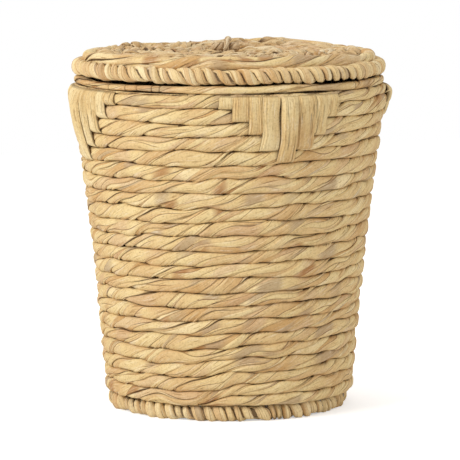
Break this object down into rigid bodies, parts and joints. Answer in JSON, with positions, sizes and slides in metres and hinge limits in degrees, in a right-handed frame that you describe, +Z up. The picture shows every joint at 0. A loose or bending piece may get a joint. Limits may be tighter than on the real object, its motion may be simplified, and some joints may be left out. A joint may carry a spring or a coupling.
{
  "type": "lidded woven basket",
  "caption": "Round tapered basket of twined plant strand over a wire frame, with stepped strap groups under the rim and a loose flat lid with a small pull.",
  "frame": {"origin": "on the ground, under the middle of the foot border", "axes": "+Z up along the basket's axis; -Y is the front, towards the middle of one strap group; +X is to the right of it"},
  "size_m": [0.3997, 0.3998, 0.4395],
  "materials": {
    "twisted_strand": "matte",
    "flat_strand": "matte",
    "inner_strand": "matte",
    "pull_strand": "matte",
    "frame_wire": "satin"
  },
  "bodies": {
    "basket": {"wall_course_01": "twisted_strand", "wall_course_02": "twisted_strand", "wall_course_03": "twisted_strand", "wall_course_04": "twisted_strand", "wall_course_05": "twisted_strand", "wall_course_06": "twisted_strand", "wall_course_07": "twisted_strand", "wall_course_08": "twisted_strand", "wall_course_09": "twisted_strand", "wall_course_10": "twisted_strand", "wall_course_11": "twisted_strand", "wall_course_12": "twisted_strand", "wall_course_13": "twisted_strand", "wall_course_14": "twisted_strand", "wall_course_15": "twisted_strand", "wall_course_16": "twisted_strand", "wall_course_17": "twisted_strand", "wall_course_18": "twisted_strand", "wall_course_19": "twisted_strand", "wall_course_20": "twisted_strand", "wall_course_21": "twisted_strand", "wall_course_22": "twisted_strand", "wall_course_23": "twisted_strand", "inner_weave": "inner_strand", "wire_frame": "frame_wire", "foot_border": "twisted_strand", "base_mat": "inner_strand", "rim_wrap": "twisted_strand", "strap_fan_front_left": "flat_strand", "strap_fan_front_right": "flat_strand", "strap_middle_front": "flat_strand", "strap_fan_right_left": "flat_strand", "strap_fan_right_right": "flat_strand", "strap_middle_right": "flat_strand", "strap_fan_back_left": "flat_strand", "strap_fan_back_right": "flat_strand", "strap_middle_back": "flat_strand", "strap_fan_left_left": "flat_strand", "strap_fan_left_right": "flat_strand", "strap_middle_left": "flat_strand"},
    "lid": {"lid_edge_rope": "twisted_strand", "lid_wire_frame": "frame_wire", "lid_course_01": "twisted_strand", "lid_course_02": "twisted_strand", "lid_course_03": "twisted_strand", "lid_course_04": "twisted_strand", "lid_course_05": "twisted_strand", "lid_course_06": "twisted_strand", "lid_course_07": "twisted_strand", "lid_course_08": "twisted_strand", "lid_course_09": "twisted_strand", "lid_course_10": "twisted_strand", "lid_centre_coil": "twisted_strand", "pull_bundle": "pull_strand", "pull_loop": "pull_strand"}
  },
  "joints": [
    {"name": "lid_lift", "type": "slide", "parent": "basket", "child": "lid", "axis": [0, 0, 1], "range_m": [0, 0.15]}
  ]
}
